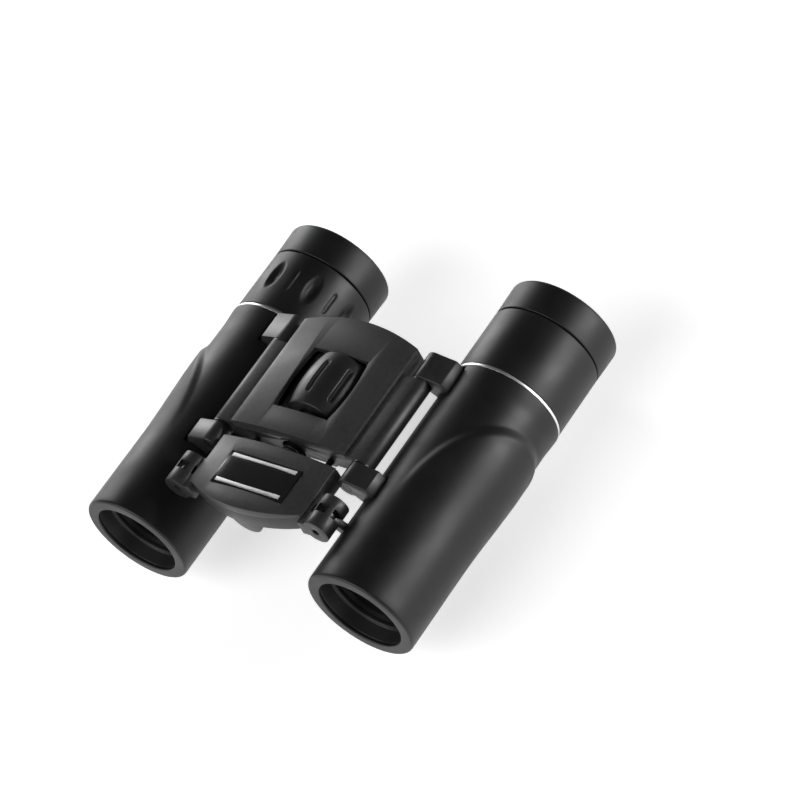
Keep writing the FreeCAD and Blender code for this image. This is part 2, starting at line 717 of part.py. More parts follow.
def bridge_cover():
    """The arched top cover, with a bowed window for the wheel and a bowed rear edge."""
    body = new_body("bridge_cover")
    half = "(cover_width / 2)"
    crown, edge = HINGE_Z + " + cover_crown", HINGE_Z + " + cover_edge"
    foot = HINGE_Z + " + deck_top + bond_gap"
    rear = "(%s + cover_tail)" % HOUSING_REAR
    length = "%s - %s" % (rear, HOUSING_FRONT)
    slab(body, "shell", (
        ("-" + half, edge, "x", "0"), ("0", crown, "x", "0"), (half, edge), (half, foot), ("-" + half, foot),
    ), rear, length)
    inner = "(cover_width / 2 - cover_wall)"
    slab(body, "hollow", (
        ("-" + inner, edge + " - cover_wall", "x", "0"),
        ("0", crown + " - cover_wall", "x", "0"),
        (inner, edge + " - cover_wall"),
        (inner, foot + " - cut_margin"),
        ("-" + inner, foot + " - cut_margin"),
    ), rear + " - cover_wall - tail_bow", length + " - 2 * cover_wall - tail_bow", cut=True)
    under, tall = HINGE_Z, "cover_crown + cut_margin"
    bow = rear + " - tail_bow"
    plate(body, "tail_trim", (
        ("-%s - cut_margin" % half, bow), ("-" + half, bow, "x", "0"), ("0", rear, "x", "0"), (half, bow),
        (half + " + cut_margin", bow), (half + " + cut_margin", rear + " + cut_margin"),
        ("-%s - cut_margin" % half, rear + " + cut_margin"),
    ), under, tall, cut=True)
    side, middle = "(window_width / 2)", "((%s + %s) / 2)" % (WINDOW_FRONT, WINDOW_REAR)
    plate(body, "window", (
        ("-" + side, WINDOW_FRONT),
        (side, WINDOW_FRONT, "y", middle),
        (side + " + window_bow", middle, "y", middle),
        (side, WINDOW_REAR),
        ("-" + side, WINDOW_REAR, "y", middle),
        ("-%s - window_bow" % side, middle, "y", middle),
    ), under, tall, cut=True)
    rod(body, "boss_notch", BOSS_RADIUS + " + side_gap", "0", FOCUS_Z,
        HOUSING_FRONT, HOUSING_FRONT + " + cover_wall", cut=True)
    for name, x, y in screw_places():
        post(body, name + "_post", "screw_head", x, y, foot, edge)
        post(body, name + "_pilot", "screw_radius + bond_gap", x, y, foot, foot + " + pilot_depth", cut=True)


def bridge_base():
    """The flat plate under the deck, with an opening for the wheel and the bearing bosses."""
    body = new_body("bridge_base")
    top = HINGE_Z + " - deck_bottom - bond_gap"
    half, well = "(cover_width / 2 - cover_wall)", "(wheel_radius + wheel_gap)"
    rear = REAR_KNUCKLE
    block(body, "base_plate", ("-" + half, half), (HOUSING_FRONT, rear), (top + " - base_thickness", top))
    hollow = (top + " - base_thickness - cut_margin", top + " + cut_margin")
    window = (WINDOW_FRONT, WINDOW_REAR + " + wheel_gap")
    block(body, "base_window", ("-" + well, well), window, hollow, cut=True)
    boss = "(%s + side_gap)" % BOSS_RADIUS
    channel = (HOUSING_FRONT + " - cut_margin", rear + " - base_bar")
    block(body, "base_channel", ("-" + boss, boss), channel, hollow, cut=True)
    for sign, side in ((-1, "left"), (1, "right")):
        rod(body, side + "_rod_relief", "rod_boss + side_gap", "%d * rod_offset" % sign, FOCUS_Z,
            HOUSING_FRONT, WINDOW_FRONT + " + focus_back + side_gap", cut=True)
    for name, x, y in screw_places():
        post(body, name + "_clear", "screw_radius + bond_gap", x, y, hollow[0], hollow[1], cut=True)


def solid_rod(label, radius, x, z, front, rear):
    """A plain rod along Y as a sub-part of its own."""
    thing = doc.addObject("Part::Cylinder", label)
    thing.setExpression("Radius", formula(radius))
    thing.setExpression("Height", formula("(%s) - (%s)" % (rear, front)))
    place(thing, x, front, z, "y")
    return thing


def tube_ring(label, outer, inner, x, z, front, rear):
    """A plain ring along Y."""
    ring = doc.addObject("Part::Cut", label)
    ring.Base = solid_rod(label + "_outside", outer, x, z, front, rear)
    ring.Tool = solid_rod(label + "_inside", inner, x, z, front, rear)
    return ring


def group(label, members):
    """Several separate solids that share one node."""
    thing = doc.addObject("Part::Compound", label)
    thing.Links = members
    thing.Label = label
    made.append(thing)


def hinge_hardware():
    """A pin through both knuckles and the housing on each side, with a washer at each end of it."""
    for sign, side in ((-1, "left"), (1, "right")):
        x = "%d * %s" % (sign, HINGE_X)
        pin = solid_rod(side + "_hinge_pin", "pin_radius", x, HINGE_Z, HINGE_FRONT, REAR_KNUCKLE)
        made.append(pin)
        front = HOUSING_FRONT + " - washer_thickness"
        rear = HOUSING_REAR + " + washer_thickness"
        hole = "pin_radius + bond_gap"
        group(side + "_hinge_washers", [
            tube_ring(side + "_front_washer", "knuckle_radius", hole, x, HINGE_Z, front, HOUSING_FRONT),
            tube_ring(side + "_rear_washer", "knuckle_radius", hole, x, HINGE_Z, HOUSING_REAR, rear),
        ])


def screw(label, x, y, under, length):
    """A small pan-head screw, head down, with a straight slot."""
    head = doc.addObject("Part::Cylinder", label + "_head")
    head.setExpression("Radius", formula("screw_head"))
    head.setExpression("Height", formula("screw_radius"))
    place(head, x, y, under + " - screw_radius")
    shank = doc.addObject("Part::Cylinder", label + "_shank")
    shank.setExpression("Radius", formula("screw_radius"))
    shank.setExpression("Height", formula(length))
    place(shank, x, y, under)
    whole = doc.addObject("Part::Fuse", label + "_whole")
    whole.Base, whole.Tool = head, shank
    slot = doc.addObject("Part::Box", label + "_slot")
    slot.setExpression("Length", formula("2 * screw_head"))
    slot.setExpression("Width", formula("screw_radius / 2"))
    slot.setExpression("Height", formula("screw_radius / 2"))
    place(slot, "%s - screw_head" % x, "%s - screw_radius / 4" % y, under + " - screw_radius")
    cut = doc.addObject("Part::Cut", label)
    cut.Base, cut.Tool = whole, slot
    return cut


def bridge_screws():
    under = HINGE_Z + " - deck_bottom - bond_gap - base_thickness"
    length = "base_thickness + deck_bottom + deck_top + screw_bite"
    group("bridge_screws", [screw(name, x, y, under, length) for name, x, y in screw_places()])


# ---------------------------------------------------------------- focus drive

def focus_drive():
    """The shaft with its wheel, the two bushes that it turns in, and the clip that keeps it in."""
    front = YOKE_FRONT + " + nut_setback + focus_back + side_gap"
    rear_bush = "(%s + wheel_gap)" % WINDOW_REAR
    clip = "(%s + bush_length + side_gap)" % rear_bush
    made.append(solid_rod("focus_shaft", "shaft_radius", "0", FOCUS_Z, front, clip + " + shaft_tail"))
    bore = "shaft_radius + running_gap"
    group("shaft_bushes", [
        tube_ring("front_bush", BUSH_RADIUS, bore, "0", FOCUS_Z,
                  WINDOW_FRONT + " - bush_length", WINDOW_FRONT),
        tube_ring("rear_bush", BUSH_RADIUS, bore, "0", FOCUS_Z,
                  rear_bush + " + bond_gap", rear_bush + " + bush_length"),
    ])
    ring = tube_ring("shaft_clip", BOSS_RADIUS, "shaft_radius + bond_gap", "0", FOCUS_Z,
                     clip, clip + " + clip_width")
    made.append(ring)
    core = new_body("wheel_core")
    collar = "(%s + side_gap)" % BUSH_RADIUS
    turned(core, "wheel_core_turned", (
        ("shaft_radius + bond_gap", WINDOW_FRONT + " + side_gap"),
        (collar + " + collar_width", WINDOW_FRONT + " + side_gap"),
        (collar + " + collar_width", WHEEL_FRONT),
        (CORE_RADIUS, WHEEL_FRONT),
        (CORE_RADIUS, WHEEL_REAR),
        ("shaft_radius + bond_gap", WHEEL_REAR),
    ))
    grip = new_body("wheel_grip")
    middle = "((%s + %s) / 2)" % (WHEEL_FRONT, WHEEL_REAR)
    inner = CORE_RADIUS + " + bond_gap"
    turned(grip, "wheel_grip_turned", (
        (inner, WHEEL_FRONT),
        ("wheel_radius - wheel_crown", WHEEL_FRONT, "y", middle),
        ("wheel_radius", middle, "y", middle),
        ("wheel_radius - wheel_crown", WHEEL_REAR),
        (inner, WHEEL_REAR),
    ))
    for body in (core, grip):
        body.setExpression("Placement.Base.z", formula(FOCUS_Z))


# ---------------------------------------------------------------- yoke

def front_bow(half, front, rear):
    """A plan outline with a bowed front edge, from its rear right corner."""
    return (
        (half, rear), ("-" + half, rear), ("-" + half, front + " + yoke_bow", "x", "0"),
        ("0", front, "x", "0"), (half, front + " + yoke_bow"),
    )


def yoke_frame():
    """The sliding frame, with a boss for the nut and an ear on each hinge line."""
    body = new_body("yoke_frame")
    half = "(yoke_width / 2)"
    bottom = HINGE_Z + " - yoke_bottom"
    plate(body, "yoke_plate", front_bow(half, YOKE_FRONT, YOKE_REAR), bottom, "yoke_bottom + yoke_top")
    inner = "(%s - yoke_wall)" % half
    along = (YOKE_FRONT + " + yoke_bow + bow_wall", YOKE_REAR + " - yoke_wall")
    tall = (bottom + " - cut_margin", HINGE_Z + " + cavity_rise")
    block(body, "yoke_cavity", ("-" + inner, inner), along, tall, cut=True)
    rod(body, "nut_boss", "yoke_boss", "0", FOCUS_Z, YOKE_FRONT + " + boss_setback", YOKE_REAR)
    block(body, "boss_trim", ("-yoke_boss", "yoke_boss"), (YOKE_FRONT, YOKE_REAR),
          (HINGE_Z + " + yoke_top", HINGE_Z + " + yoke_crown"), cut=True)
    ear_front = "(%s - ear_length)" % EAR_REAR
    eye = ("%s - arm_thickness / 2 - side_gap" % ARM_Y, "%s + arm_thickness / 2 + side_gap" % ARM_Y)
    for sign, side in ((-1, "left"), (1, "right")):
        x = "%d * %s" % (sign, HINGE_X)
        reach = ("(yoke_width / 2 - 1)", HINGE_X)
        reach = reach if sign > 0 else ("-" + reach[1], "-" + reach[0])
        block(body, side + "_ear_plate", reach, (ear_front, EAR_REAR), (bottom, HINGE_Z + " + yoke_top"))
        rod(body, side + "_ear", "ear_radius", x, HINGE_Z, ear_front, EAR_REAR)
        rod(body, side + "_rod_seat", "rod_boss", "%d * rod_offset" % sign, FOCUS_Z,
            EAR_REAR, YOKE_REAR)
        reach = ("(%s - ear_radius + side_gap)" % HINGE_X, "(%s + ear_radius + 1)" % HINGE_X)
        reach = reach if sign > 0 else ("-" + reach[1], "-" + reach[0])
        block(body, side + "_ear_slot", reach, eye,
              (HINGE_Z + " - ear_radius - cut_margin", HINGE_Z + " + arm_eye + side_gap"), cut=True)
        half_window = "%s %s arm_eye * 0.7"
        block(body, side + "_ear_window", (half_window % (x, "-"), half_window % (x, "+")), eye,
              (HINGE_Z, HINGE_Z + " + ear_radius + cut_margin"), cut=True)
        bore = "pivot_radius + bond_gap"
        rod(body, side + "_pivot_bore", bore, x, HINGE_Z, ear_front, EAR_REAR, cut=True)
        rod(body, side + "_rod_hole", "rod_radius + bond_gap", "%d * rod_offset" % sign, FOCUS_Z,
            EAR_REAR + " + cut_margin", YOKE_REAR, cut=True)
    bore = NUT_RADIUS + " + bond_gap"
    rod(body, "nut_bore", bore, "0", FOCUS_Z, YOKE_FRONT + " + nut_setback", YOKE_REAR, cut=True)
    top = HINGE_Z + " + yoke_top"
    for name, x, y in yoke_screw_places():
        post(body, name + "_hole", "screw_radius + bond_gap", x, y, bottom + " - 2 * cut_margin",
            top, cut=True)


def yoke_screw_places():
    places = []
    for sign, side in ((-1, "left"), (1, "right")):
        places.append((side + "_yoke_screw", "%d * screw_offset" % sign, YOKE_REAR + " - yoke_screw_setback"))
    return places


def yoke_cover():
    """The arched plate on the yoke, with the recess that the label plate lies in."""
    body = new_body("yoke_cover")
    half = "(yoke_width / 2 - cover_inset)"
    crown, edge = HINGE_Z + " + yoke_crown", HINGE_Z + " + yoke_edge"
    foot = HINGE_Z + " + yoke_top + bond_gap"
    front = YOKE_FRONT + " - cover_lip"
    rear = YOKE_REAR + " + cover_lip"
    slab(body, "yoke_arch", (
        ("-" + half, edge, "x", "0"), ("0", crown, "x", "0"), (half, edge), (half, foot), ("-" + half, foot),
    ), rear, "%s - (%s)" % (rear, front))
    plate(body, "yoke_front_trim", (
        ("-" + half, front + " + yoke_bow", "x", "0"), ("0", front, "x", "0"), (half, front + " + yoke_bow"),
        (half + " + cut_margin", front + " + yoke_bow"), (half + " + cut_margin", front + " - cut_margin"),
        ("-%s - cut_margin" % half, front + " - cut_margin"), ("-%s - cut_margin" % half,
         front + " + yoke_bow"),
    ), HINGE_Z, "yoke_crown + cut_margin", cut=True)
    wide, rear_side, front_side = "(label_width / 2)", *label_span()
    block(body, "label_recess", ("-" + wide, wide), (front_side, rear_side),
          (crown + " - label_depth - label_seat", crown + " + cut_margin"), cut=True)
    for name, x, y in yoke_screw_places():
        post(body, name + "_pilot", "screw_radius + bond_gap", x, y, foot, foot + " + yoke_pilot", cut=True)


def label_span():
    """The rear and front planes of the label recess."""
    rear = "(%s - label_setback + label_rear)" % YOKE_REAR
    return rear, "(%s - label_length)" % rear


def label_plate():
    """The raised plate in the recess, a little smaller all round and arched like the cover."""
    body = new_body("label_plate")
    rear, front = label_span()
    wide = "(label_width / 2 - side_gap)"
    crown = HINGE_Z + " + yoke_crown"
    floor = crown + " - label_depth - label_seat + bond_gap"
    slab(body, "label_arch", (
        ("-" + wide, crown + " - label_depth", "x", "0"), ("0", crown + " - label_dome", "x", "0"),
        (wide, crown + " - label_depth"), (wide, floor), ("-" + wide, floor),
    ), rear + " - side_gap", "label_length - 2 * side_gap")


def yoke_hardware():
    """The brass nut, the guide rods, the pivot pins and the two screws."""
    nut = tube_ring("yoke_nut", NUT_RADIUS, "shaft_radius + running_gap", "0", FOCUS_Z,
                    YOKE_FRONT + " + nut_setback + bond_gap", YOKE_REAR + " - nut_inset")
    made.append(nut)
    rods = []
    for sign, side in ((-1, "left"), (1, "right")):
        rods.append(solid_rod(side + "_guide_rod", "rod_radius", "%d * rod_offset" % sign, FOCUS_Z,
                              EAR_REAR + " + rod_setback", WINDOW_FRONT))
        pin = solid_rod(side + "_pivot_pin", "pivot_radius", "%d * %s" % (sign, HINGE_X), HINGE_Z,
                        EAR_REAR + " - ear_length + pin_setback", EAR_REAR + " - pin_setback")
        made.append(pin)
    group("guide_rods", rods)
    under = HINGE_Z + " - yoke_bottom"
    group("yoke_screws", [
        screw(name, x, y, under, "yoke_bottom + yoke_top + yoke_bite") for name, x, y in yoke_screw_places()
    ])


def build():
    for side in ("left", "right"):
        barrel_tube(side)
        knuckles(side)
        armour(side)
        front_ring(side)
        objective_cell(side)
        objective_glass(side)
        prisms(side)
        eyepiece(side)
        sleeves(side)
    bridge_frame()
    bridge_cover()
    bridge_base()
    hinge_hardware()
    bridge_screws()
    focus_drive()
    yoke_frame()
    yoke_cover()
    label_plate()
    yoke_hardware()
    doc.recompute()


def check():
    """Every object is up to date, and every sub-part is a sound solid or group of solids."""
    for thing in doc.Objects:
        if "Invalid" in thing.State or "Error" in thing.State:
            raise RuntimeError("%s failed: %s" % (thing.Name, thing.State))
    for thing in made:
        if thing.Shape.isNull() or not thing.Shape.isValid() or not thing.Shape.Solids:
            raise RuntimeError("%s has no sound shape" % thing.Label)


def export():
    os.makedirs("parts", exist_ok=True)
    for thing in made:
        thing.Shape.exportStep("parts/%s.step" % thing.Label)
        print("%-24s %2d solids %9.1f mm3" % (thing.Label, len(thing.Shape.Solids), thing.Shape.Volume))


build()
check()
export()
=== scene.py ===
# %% [markdown]
# # Compact folding binoculars: the looks
# The frame already holds every mechanical piece at its real size. This lesson gives the pieces that
# are seen their final surfaces: moulded rubber, satin plastic, polished rings and coated glass.
# Most pieces either stand for a frame node or are that node with a better finish. The label's bands,
# the ribs in the mouths and the shaft's thread are added. All of them ride on the frame's bodies, so
# that the hinges, the focus drive and the dioptre ring still work.

# %% Load the frame
import json
import math

import bmesh
import bpy
import numpy as np
from mathutils import Matrix, Vector


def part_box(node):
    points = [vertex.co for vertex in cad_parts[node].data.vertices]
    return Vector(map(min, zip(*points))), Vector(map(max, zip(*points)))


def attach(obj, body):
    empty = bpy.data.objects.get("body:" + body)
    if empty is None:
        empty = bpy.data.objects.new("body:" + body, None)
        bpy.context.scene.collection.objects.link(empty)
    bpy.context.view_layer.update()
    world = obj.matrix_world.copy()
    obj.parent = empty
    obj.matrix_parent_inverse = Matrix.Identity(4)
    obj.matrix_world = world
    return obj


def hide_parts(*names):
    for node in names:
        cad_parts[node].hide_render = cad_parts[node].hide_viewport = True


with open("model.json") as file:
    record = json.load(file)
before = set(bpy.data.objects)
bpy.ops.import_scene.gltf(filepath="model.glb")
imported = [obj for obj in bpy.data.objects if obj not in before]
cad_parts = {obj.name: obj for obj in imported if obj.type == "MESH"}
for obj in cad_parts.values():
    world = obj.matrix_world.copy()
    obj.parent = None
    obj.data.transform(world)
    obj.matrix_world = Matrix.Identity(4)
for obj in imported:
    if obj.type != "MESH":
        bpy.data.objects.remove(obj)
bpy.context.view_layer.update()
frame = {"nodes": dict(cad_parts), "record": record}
MM = 0.001
SIDES = {"left": -1, "right": 1}
BODY_OF = {node: body for body, nodes in frame["record"]["behaviour"]["bodies"].items() for node in nodes}
SLOT_OF = {part["node"]: part["material_slot"] for part in frame["record"]["subparts"]}

# %% [markdown]
# ## Where things are
# Every place comes from the frame. An eyecup is a plain ring about its barrel's axis, so the middle
# of its box is the axis, and half of its width is the tail radius of the barrel. The plain barrel in
# front of the tail is a little thinner.

# %% Places and main radii
def centre_line(node):
    """The middle of a node's box, as the line along Y that it is turned about."""
    low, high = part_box(node)
    return Vector(((low.x + high.x) / 2, 0, (low.z + high.z) / 2))


def span(node):
    """Where a turned node starts and ends along Y, and its radius."""
    low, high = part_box(node)
    return low.y, high.y, (high.x - low.x) / 2


AXIS = {side: centre_line(side + "_eyecup") for side in SIDES}
HINGE = centre_line("left_hinge_pin")
FOCUS_Z = centre_line("wheel_grip").z
TAIL_R, TAIL_FLARE = span("right_eyecup")[2], 0.3 * MM
BODY_R = TAIL_R - TAIL_FLARE
FRONT_Y, TAIL_Y = span("right_armour")[:2]
print("barrel axis x %.2f mm, radius %.2f mm" % (AXIS["right"].x / MM, BODY_R / MM))

# %% [markdown]
# ## Camera
# The object is seen from its front right, well above it, with the camera rolled so that the barrels
# lean to the right. A long lens keeps the two barrels nearly parallel. Two of the camera's directions
# are given outright and the third follows from them, because a tracked camera would lose the roll.

# %% Make the camera
TARGET = Vector((0, 0, AXIS["right"].z))
TOWARDS = Vector((0.6149, -0.3905, 0.6852)).normalized()
UPWARDS = Vector((-0.2223, 0.7478, 0.6257))
RIGHTWARDS = UPWARDS.cross(TOWARDS).normalized()
UPWARDS = TOWARDS.cross(RIGHTWARDS)
DISTANCE = 0.898
camera_data = bpy.data.cameras.new("camera")
camera_data.lens = 154.2
camera_data.shift_x = 0.063
camera_data.shift_y = 0.039
camera = bpy.data.objects.new("camera", camera_data)
turned = Matrix((RIGHTWARDS, UPWARDS, TOWARDS)).transposed().to_4x4()
camera.matrix_world = Matrix.Translation(TARGET + TOWARDS * DISTANCE) @ turned
bpy.context.scene.collection.objects.link(camera)
bpy.context.scene.camera = camera
print("camera at", [round(x, 3) for x in camera.matrix_world.translation])

# %% [markdown]
# ## Floor and studio light
# A pale paper lies under the object. Black rubber only shows its shape through what it mirrors, so a
# bright room would grey it all over. The room is bright low down, where each barrel's sides mirror it,
# and dim overhead, which leaves a dark band along the top. The strongest box stands in front, where no
# barrel mirrors it. The paper glows a little by itself, so that shadows stay faint.
# It lies a little under the plane that the open binoculars rest on, because the bridge is the fixed
# body, and folding swings the barrels about 7 mm below that plane.

# %% Floor and lights
def link(name, mesh):
    """A new object at the origin that holds the mesh."""
    thing = bpy.data.objects.new(name, mesh)
    bpy.context.scene.collection.objects.link(thing)
    return thing


floor_mesh = bpy.data.meshes.new("floor")
FLOOR_HALF = 4.0
FLOOR_DROP = 7.5 * MM
corners = [(x * FLOOR_HALF, y * FLOOR_HALF, -FLOOR_DROP) for x, y in ((-1, -1), (1, -1), (1, 1), (-1, 1))]
floor_mesh.from_pydata(corners, [], [(0, 1, 2, 3)])
floor = link("floor", floor_mesh)


def soft_box(name, place, size, watts):
    """A rectangular light at place that faces the object."""
    data = bpy.data.lights.new(name, "AREA")
    data.shape = "RECTANGLE"
    data.size, data.size_y = size
    data.energy = watts
    lamp = bpy.data.objects.new(name, data)
    direction = (TARGET - Vector(place)).normalized()
    lamp.rotation_euler = direction.to_track_quat("-Z", "Y").to_euler()
    lamp.location = place
    bpy.context.scene.collection.objects.link(lamp)


soft_box("light_left", (-0.95, 0.45, 0.26), (0.3, 0.8), 4.5)
soft_box("light_right", (0.95, 0.5, 0.12), (0.22, 0.9), 11.0)
soft_box("light_front", (-0.3, -1.15, 1.0), (1.6, 1.0), 16.0)

# %% A room that is bright near the floor and dim overhead
HORIZON, OVERHEAD, FADE_TOP = 0.75, 0.05, 0.4
world = bpy.data.worlds.new("room")
world.use_nodes = True
nodes, links = world.node_tree.nodes, world.node_tree.links
background = nodes["Background"]
background.inputs["Color"].default_value = (1, 1, 1, 1)
direction = nodes.new("ShaderNodeTexCoord")
heights = nodes.new("ShaderNodeSeparateXYZ")
fade = nodes.new("ShaderNodeMapRange")
for socket, number in (("From Min", 0.0), ("From Max", FADE_TOP), ("To Min", HORIZON), ("To Max", OVERHEAD)):
    fade.inputs[socket].default_value = number
links.new(direction.outputs["Generated"], heights.inputs["Vector"])
links.new(heights.outputs["Z"], fade.inputs["Value"])
links.new(fade.outputs["Result"], background.inputs["Strength"])
bpy.context.scene.world = world
print("room brightness from %.2f near the floor to %.2f overhead" % (HORIZON, OVERHEAD))
bpy.context.scene.view_settings.view_transform = "Standard"

# %% [markdown]
# ## Finishes
# One builder makes every finish. A fine noise gives the grain its bump, a broad one shifts colour
# and roughness as handling does, and the Pointiness of the mesh lightens the edges that hands rub.
# The noises read Object coordinates, in metres, so the grain is the same size on every piece.

# %% The finish builder
BLOTCH_MM, RUBBED_PATCH_MM = 9.0, 1.2
EDGE_STARTS, EDGE_FULL = 0.52, 0.6
SHINE_SHIFT = 0.12


def finish(name, colour, rough, grain_mm, bump_mm, vary, wear=0.0, stretch=(1, 1, 1), **shader):
    """A node material. Extra keywords are set on the shader's own sockets."""
    material = bpy.data.materials.new(name)
    material.use_nodes = True
    nodes, links = material.node_tree.nodes, material.node_tree.links
    bsdf = nodes["Principled BSDF"]
    where = nodes.new("ShaderNodeTexCoord")
    mapping = nodes.new("ShaderNodeMapping")
    mapping.inputs["Scale"].default_value = stretch
    links.new(where.outputs["Object"], mapping.inputs["Vector"])

    def noise(size_mm, detail):
        node = nodes.new("ShaderNodeTexNoise")
        node.inputs["Scale"].default_value = 1 / (size_mm * MM)
        node.inputs["Detail"].default_value = detail
        links.new(mapping.outputs["Vector"], node.inputs["Vector"])
        return node.outputs["Fac"]

    def mapped(value, *limits):
        """The value, carried from between the first two limits to between the last two."""
        node = nodes.new("ShaderNodeMapRange")
        for socket, number in zip(("From Min", "From Max", "To Min", "To Max"), limits):
            node.inputs[socket].default_value = number
        links.new(value, node.inputs["Value"])
        return node.outputs["Result"]

    grain, broad = noise(grain_mm, 4), noise(BLOTCH_MM, 3)
    tint = nodes.new("ShaderNodeMix")
    tint.data_type = "RGBA"
    tint.inputs["A"].default_value = [c * (1 - vary) for c in colour] + [1]
    tint.inputs["B"].default_value = [min(1, c * (1 + vary)) for c in colour] + [1]
    links.new(broad, tint.inputs["Factor"])
    shown = tint.outputs["Result"]
    if wear:
        shape = nodes.new("ShaderNodeNewGeometry")
        edge = mapped(shape.outputs["Pointiness"], EDGE_STARTS, EDGE_FULL, 0.0, wear)
        patchy = nodes.new("ShaderNodeMath")
        patchy.operation = "MULTIPLY"
        links.new(edge, patchy.inputs[0])
        links.new(mapped(noise(RUBBED_PATCH_MM, 3), 0.35, 0.6, 0.3, 1.0), patchy.inputs[1])
        rubbed = nodes.new("ShaderNodeMix")
        rubbed.data_type = "RGBA"
        rubbed.inputs["B"].default_value = [min(1, c * 3 + 0.08) for c in colour] + [1]
        links.new(patchy.outputs[0], rubbed.inputs["Factor"])
        links.new(shown, rubbed.inputs["A"])
        shown = rubbed.outputs["Result"]
    links.new(shown, bsdf.inputs["Base Color"])
    shine = mapped(broad, 0.3, 0.7, rough * (1 - SHINE_SHIFT), rough * (1 + SHINE_SHIFT))
    links.new(shine, bsdf.inputs["Roughness"])
    height = nodes.new("ShaderNodeBump")
    height.inputs["Distance"].default_value = bump_mm * MM
    links.new(grain, height.inputs["Height"])
    links.new(height.outputs["Normal"], bsdf.inputs["Normal"])
    for socket, value in shader.items():
        bsdf.inputs[socket.replace("_", " ")].default_value = value
    return material


# %% The finishes of this object
FINISH = {
    "rubber_armour": finish("moulded_rubber", (0.0055, 0.0053, 0.006), 0.44, 0.22, 0.01, vary=0.12, wear=0.1,
                            Specular_IOR_Level=0.38),
    "wheel_rubber": finish("wheel_rubber", (0.009, 0.009, 0.0095), 0.42, 0.2, 0.01, vary=0.1, wear=0.2),
    "barrel_plastic": finish("satin_plastic", (0.012, 0.0117, 0.0128), 0.4, 0.3, 0.003, vary=0.05, wear=0.2),
    "bridge_plastic": finish("bridge_plastic", (0.013, 0.0127, 0.0138), 0.42, 0.3, 0.003, vary=0.05,
                             wear=0.25),
    "cover_plastic": finish("cover_plastic", (0.021, 0.0205, 0.0222), 0.44, 0.25, 0.003, vary=0.05, wear=0.3),
    "black_metal": finish("black_anodised", (0.009, 0.009, 0.0095), 0.34, 0.15, 0.002, vary=0.08, wear=0.3),
    "chrome_trim": finish("polished_ring", (0.88, 0.88, 0.89), 0.36, 0.5, 0.001, vary=0.04, Metallic=1.0),
    "steel": finish("plain_steel", (0.5, 0.5, 0.51), 0.28, 0.1, 0.002, vary=0.1, stretch=(1, 0.1, 1),
                    Metallic=1.0),
    "brass": finish("machined_brass", (0.62, 0.46, 0.2), 0.3, 0.12, 0.002, vary=0.1, Metallic=1.0),
    "glass": finish("coated_glass", (0.03, 0.035, 0.05), 0.04, 2.0, 0.0002, vary=0.05,
                    Specular_IOR_Level=0.6, Coat_Weight=0.7, Coat_Tint=(0.55, 0.4, 0.95, 1)),
    "label": finish("label_gloss", (0.007, 0.007, 0.008), 0.14, 1.5, 0.0005, vary=0.05, Coat_Weight=1.0,
                    Coat_Roughness=0.04),
}
DARK_STEEL = finish("blackened_steel", (0.03, 0.03, 0.032), 0.36, 0.1, 0.002, vary=0.1, Metallic=0.6)
BLACKENED = ("washers", "hinge_pin", "pivot_pin", "focus_shaft", "guide_rods", "shaft_clip")
PAPER = finish("floor_paper", (0.95, 0.95, 0.95), 0.85, 1.0, 0.01, vary=0.01,
               Emission_Color=(1, 1, 1, 1), Emission_Strength=0.55)
floor.data.materials.append(PAPER)
for node, thing in frame["nodes"].items():
    thing.data.materials.clear()
    thing.data.materials.append(DARK_STEEL if node.endswith(BLACKENED) else FINISH[SLOT_OF[node]])
print("finishes:", ", ".join(sorted(FINISH)))

# %% [markdown]
# ## Turned shapes
# The armour, sleeves, eyecups and rings are all shapes turned about a barrel's axis. A turned mesh
# is made here from a closed profile of radius and place along the axis. A Screw modifier could do
# it, but here the radius may also depend on the angle, which the grip of the armour needs.

# %% Turned mesh helpers
def rounded(points, steps=4):
    """A closed profile. A corner is (radius, place, round), and its round is cut into short steps."""
    out = []
    count = len(points)
    for index, (r, y, fillet) in enumerate(points):
        here = np.array((r, y))
        before = np.array(points[index - 1][:2]) - here
        after = np.array(points[(index + 1) % count][:2]) - here
        reach = min(fillet, 0.45 * np.linalg.norm(before), 0.45 * np.linalg.norm(after))
        if reach < 1e-6:
            out.append(tuple(here))
            continue
        start = here + before / np.linalg.norm(before) * reach
        end = here + after / np.linalg.norm(after) * reach
        for step in range(steps + 1):
            t = step / steps
            out.append(tuple((1 - t) ** 2 * start + 2 * t * (1 - t) * here + t ** 2 * end))
    return out


def shade(mesh, angle=35):
    """Smooth faces, with sharp edges past an angle in degrees."""
    mesh.shade_smooth()
    mesh.set_sharp_from_angle(angle=math.radians(angle))


def turned_mesh(name, profile, centre, segments=160, radius=None):
    """A solid of revolution along Y about centre. radius(angle, y, r) may change each radius."""
    ring = len(profile)
    vertices = []
    for k in range(segments):
        angle = 2 * math.pi * k / segments
        for r, y in profile:
            reach = radius(angle, y, r) if radius else r
            vertices.append((centre.x + reach * math.cos(angle), y, centre.z + reach * math.sin(angle)))
    faces = []
    for k in range(segments):
        a, b = k * ring, (k + 1) % segments * ring
        faces += [(a + i, a + (i + 1) % ring, b + (i + 1) % ring, b + i) for i in range(ring)]
    mesh = bpy.data.meshes.new(name)
    mesh.from_pydata(vertices, [], faces)
    bm = bmesh.new()
    bm.from_mesh(mesh)
    bmesh.ops.recalc_face_normals(bm, faces=bm.faces)
    bm.to_mesh(mesh)
    bm.free()
    shade(mesh)
    return mesh


def apply_modifiers(thing):
    """Keeps the finished mesh of the piece and drops its modifiers."""
    bpy.context.view_layer.update()
    finished = thing.evaluated_get(bpy.context.evaluated_depsgraph_get())
    mesh = bpy.data.meshes.new_from_object(finished)
    thing.modifiers.clear()
    thing.data = mesh


